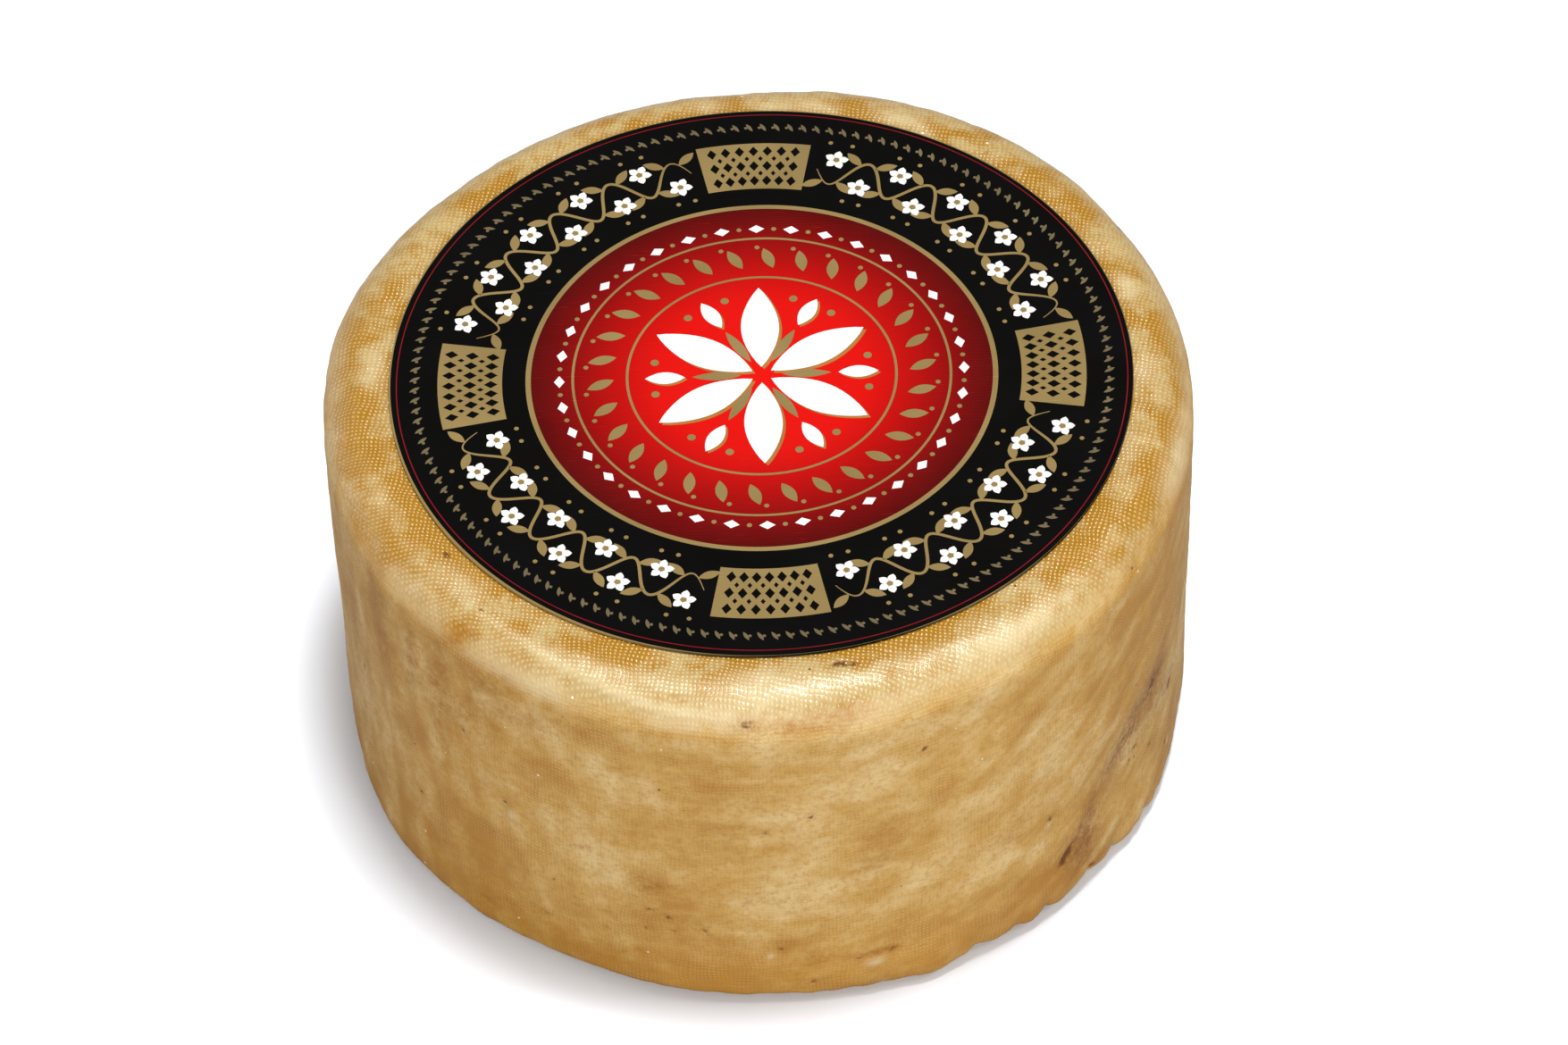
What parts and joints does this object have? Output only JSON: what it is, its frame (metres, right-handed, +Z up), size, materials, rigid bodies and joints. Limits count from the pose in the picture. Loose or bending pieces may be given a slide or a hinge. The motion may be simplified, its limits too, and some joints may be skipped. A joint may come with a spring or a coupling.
{
  "type": "cheese wheel",
  "caption": "Whole drum-shaped wheel of aged sheep's milk cheese with a rounded rim, a cloth-marked golden rind and a round card label on top.",
  "frame": {"origin": "middle of the wheel's outline, on the face that it stands on", "axes": "+Z up along the wheel's axis, -Y towards the front of the picture's view, +X to its right"},
  "size_m": [0.196, 0.1962, 0.1022],
  "materials": {
    "rind": "natural cheese rind with a thin oily coat and a cloth imprint",
    "printed_card": "printed card with fine laid lines, satin varnish and a pale gold edge"
  },
  "bodies": {
    "root": {"cheese_wheel": "rind", "label": "printed_card"}
  },
  "joints": []
}
